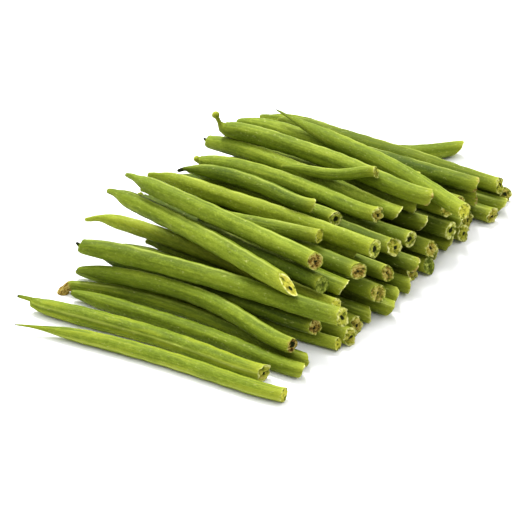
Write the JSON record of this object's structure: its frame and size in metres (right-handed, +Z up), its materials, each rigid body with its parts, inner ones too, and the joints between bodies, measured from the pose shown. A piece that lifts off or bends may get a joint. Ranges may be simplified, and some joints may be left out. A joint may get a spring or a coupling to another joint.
{
  "type": "green bean bundle",
  "caption": "Heap of trimmed fresh green beans laid side by side in layers, cut ends all one way, resting on a flat surface.",
  "frame": {"origin": "on the surface that the heap lies on, under the middle of the heap's box", "axes": "+X along the pods from their thin tails to their cut ends, +Y across the heap from front to back, +Z up"},
  "size_m": [0.1524, 0.23, 0.0417],
  "materials": {
    "fresh_green": "satin, smooth bean skin",
    "deep_green": "satin, smooth bean skin",
    "yellow_green": "satin, smooth bean skin"
  },
  "bodies": {
    "root": {"pod_back_01": "fresh_green", "pod_floor_01": "fresh_green", "pod_floor_02": "deep_green", "pod_floor_03": "fresh_green", "pod_floor_04": "fresh_green", "pod_floor_05": "fresh_green", "pod_floor_06": "fresh_green", "pod_floor_07": "deep_green", "pod_floor_08": "fresh_green", "pod_floor_09": "fresh_green", "pod_floor_10": "fresh_green", "pod_floor_11": "fresh_green", "pod_floor_12": "fresh_green", "pod_floor_13": "deep_green", "pod_floor_14": "deep_green", "pod_floor_15": "fresh_green", "pod_front_01": "fresh_green", "pod_front_02": "fresh_green", "pod_front_03": "fresh_green", "pod_front_04": "fresh_green", "pod_front_05": "fresh_green", "pod_second_01": "deep_green", "pod_second_02": "fresh_green", "pod_second_03": "fresh_green", "pod_second_04": "deep_green", "pod_second_05": "deep_green", "pod_second_06": "deep_green", "pod_second_07": "fresh_green", "pod_second_08": "fresh_green", "pod_second_09": "fresh_green", "pod_slope_01": "deep_green", "pod_slope_02": "fresh_green", "pod_slope_03": "yellow_green", "pod_slope_04": "fresh_green", "pod_third_01": "fresh_green", "pod_third_02": "deep_green", "pod_third_03": "fresh_green", "pod_third_04": "fresh_green", "pod_third_05": "fresh_green", "pod_third_06": "fresh_green", "pod_third_07": "deep_green", "pod_top_01": "deep_green", "pod_top_02": "fresh_green", "pod_top_03": "fresh_green", "pod_top_04": "yellow_green", "pod_top_05": "fresh_green", "pod_top_06": "fresh_green", "pod_top_07": "fresh_green", "pod_top_08": "fresh_green", "pod_top_09": "fresh_green", "pod_top_10": "fresh_green", "pod_top_11": "deep_green", "pod_top_12": "fresh_green", "pod_top_13": "fresh_green", "pod_top_14": "fresh_green", "pod_top_15": "fresh_green"}
  },
  "joints": []
}
